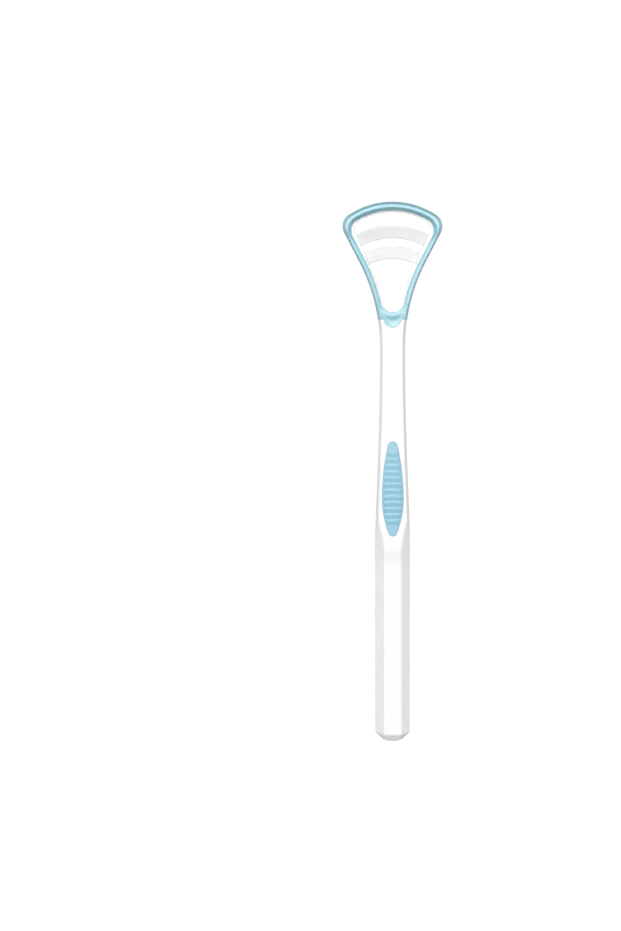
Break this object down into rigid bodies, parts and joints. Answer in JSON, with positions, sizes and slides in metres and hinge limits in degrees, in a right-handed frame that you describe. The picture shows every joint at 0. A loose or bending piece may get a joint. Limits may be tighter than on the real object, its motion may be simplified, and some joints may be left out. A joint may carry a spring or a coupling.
{
  "type": "tongue scraper",
  "caption": "Upright tongue scraper: white faceted handle and slim neck, fan-shaped open head with curved scraper bars, soft light blue head rim and ribbed thumb grip.",
  "frame": {"origin": "middle of the small flat foot of the chamfered handle end, on the handle's long axis, as the scraper stands upright", "axes": "+Z along the handle towards the head, -Y out of the front with the thumb grip, +X to the right seen from the front"},
  "size_m": [0.0324, 0.0105, 0.1749],
  "materials": {
    "white_plastic": "satin moulded polypropylene, opaque white",
    "blue_elastomer": "soft matt thermoplastic elastomer, light blue"
  },
  "bodies": {
    "root": {"handle_core": "white_plastic", "soft_head_rim": "blue_elastomer", "thumb_grip": "blue_elastomer"}
  },
  "joints": []
}
